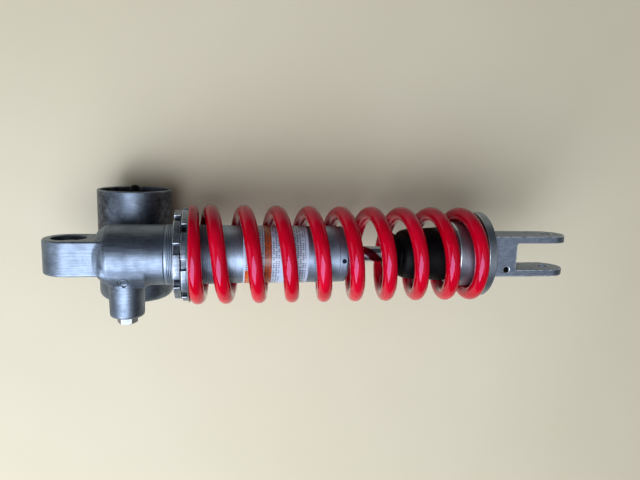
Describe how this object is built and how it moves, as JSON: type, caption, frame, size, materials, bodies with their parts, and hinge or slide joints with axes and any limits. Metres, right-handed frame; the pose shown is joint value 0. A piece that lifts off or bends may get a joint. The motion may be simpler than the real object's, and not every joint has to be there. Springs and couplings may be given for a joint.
{
  "type": "rear shock absorber",
  "caption": "Motorcycle rear shock absorber with a red coil spring, cross-wise reservoir, spherical-bearing eye, lower clevis and preload rings.",
  "frame": {"origin": "centre of the upper eye", "axes": "+X along the shock from the eye to the clevis, +Y along both mounting bores, +Z away from the reservoir"},
  "size_m": [0.472, 0.115, 0.1371],
  "materials": {
    "cast_aluminium": "polished casting, tarnished",
    "forged_aluminium": "machined and tumbled",
    "turned_aluminium": "turned",
    "tube_aluminium": "ground and polished",
    "black_aluminium": "black anodised",
    "plain_steel": "machined",
    "bearing_steel": "ground",
    "black_steel": "blackened, worn at its edges",
    "hard_chrome": "polished",
    "brass_screw": "turned",
    "bush_bronze": "bored",
    "red_spring_paint": "gloss powder coat",
    "stop_rubber": "moulded",
    "seal_rubber": "moulded",
    "black_plastic": "moulded",
    "label_film": "printed film"
  },
  "bodies": {
    "damper_body": {"head_casting": "cast_aluminium", "passage_plug": "plain_steel", "eye_bearing_race": "bearing_steel", "eye_snap_rings": "black_steel", "compression_valve_body": "turned_aluminium", "compression_oring": "seal_rubber", "reservoir_cap": "black_aluminium", "reservoir_oring": "seal_rubber", "reservoir_snap_ring": "black_steel", "reservoir_bladder": "seal_rubber", "gas_valve": "brass_screw", "gas_valve_cap": "black_plastic", "damper_tube": "tube_aluminium", "seal_head": "turned_aluminium", "seal_head_oring": "seal_rubber", "rod_bush": "bush_bronze", "rod_seal": "seal_rubber", "tube_snap_ring": "black_steel", "tube_end_cap": "tube_aluminium", "dust_wiper": "seal_rubber", "body_label": "label_film", "coil_spring": "red_spring_paint"},
    "eye_ball": {"eye_bearing_ball": "bearing_steel"},
    "eye_sleeve": {"eye_sleeve": "plain_steel"},
    "high_speed_adjuster": {"high_speed_adjuster": "plain_steel"},
    "low_speed_adjuster": {"low_speed_adjuster": "brass_screw"},
    "compression_needle": {"compression_needle": "plain_steel"},
    "preload_seat": {"spring_slip_washer": "plain_steel"},
    "preload_ring": {"preload_ring": "black_steel"},
    "lock_ring": {"lock_ring": "black_steel"},
    "lower_seat": {"spring_seat": "turned_aluminium"},
    "rod": {"piston_rod": "hard_chrome", "clevis": "forged_aluminium", "piston": "turned_aluminium", "piston_band": "black_plastic", "compression_shims": "bearing_steel", "rebound_shims": "bearing_steel", "rebound_stop_washer": "plain_steel", "piston_nut": "plain_steel", "top_out_bumper": "stop_rubber", "bump_stop": "stop_rubber", "bump_stop_cup": "plain_steel", "detent_ball": "bearing_steel", "detent_spring": "plain_steel", "detent_plug": "black_steel"},
    "rebound_adjuster": {"rebound_adjuster": "brass_screw"},
    "rebound_needle": {"rebound_metering_rod": "turned_aluminium"}
  },
  "joints": [
    {"name": "shaft_travel", "type": "slide", "parent": "damper_body", "child": "lower_seat", "axis": [-1, 0, 0], "range_m": [0, 0.064], "stiffness_N_per_m": 80000, "springref_m": -0.008, "deforming": ["coil_spring", "bump_stop"]},
    {"name": "shaft_swivel", "type": "hinge", "parent": "lower_seat", "child": "rod", "pos_m": [0.3, 0, 0], "axis": [1, 0, 0], "continuous": true},
    {"name": "preload_travel", "type": "slide", "parent": "damper_body", "child": "preload_seat", "axis": [1, 0, 0], "range_m": [-0.0045, 0.009]},
    {"name": "preload_ring_turn", "type": "hinge", "parent": "preload_seat", "child": "preload_ring", "pos_m": [0.095, 0, 0], "axis": [1, 0, 0], "range_deg": [-1080, 2160]},
    {"name": "lock_ring_turn", "type": "hinge", "parent": "preload_seat", "child": "lock_ring", "pos_m": [0.089, 0, 0], "axis": [1, 0, 0], "range_deg": [-1080, 2160]},
    {"name": "eye_ball_tilt", "type": "hinge", "parent": "damper_body", "child": "eye_ball", "pos_m": [0, 0, 0], "axis": [1, 0, 0], "range_deg": [-5, 5]},
    {"name": "eye_sleeve_turn", "type": "hinge", "parent": "eye_ball", "child": "eye_sleeve", "pos_m": [0, 0, 0], "axis": [0, 1, 0], "continuous": true},
    {"name": "high_speed_turn", "type": "hinge", "parent": "damper_body", "child": "high_speed_adjuster", "pos_m": [0.045, -0.05, 0], "axis": [0, 1, 0], "range_deg": [-720, 720]},
    {"name": "low_speed_turn", "type": "hinge", "parent": "high_speed_adjuster", "child": "low_speed_adjuster", "pos_m": [0.045, -0.05, 0], "axis": [0, 1, 0], "range_deg": [-540, 540]},
    {"name": "compression_needle_travel", "type": "slide", "parent": "damper_body", "child": "compression_needle", "axis": [0, 1, 0], "range_m": [-0.0012, 0.0012]},
    {"name": "rebound_turn", "type": "hinge", "parent": "rod", "child": "rebound_adjuster", "pos_m": [0.38675, -0.015, 0], "axis": [0, 1, 0], "range_deg": [-540, 540]},
    {"name": "rebound_needle_travel", "type": "slide", "parent": "rod", "child": "rebound_needle", "axis": [-1, 0, 0], "range_m": [-0.0006, 0.0006]}
  ],
  "couplings": [
    {"joint": "preload_ring_turn", "follows": "preload_travel", "rad_per_m": 4188.8},
    {"joint": "lock_ring_turn", "follows": "preload_travel", "rad_per_m": 4188.8},
    {"joint": "low_speed_turn", "follows": "compression_needle_travel", "rad_per_m": 7854},
    {"joint": "rebound_turn", "follows": "rebound_needle_travel", "rad_per_m": 15708}
  ]
}
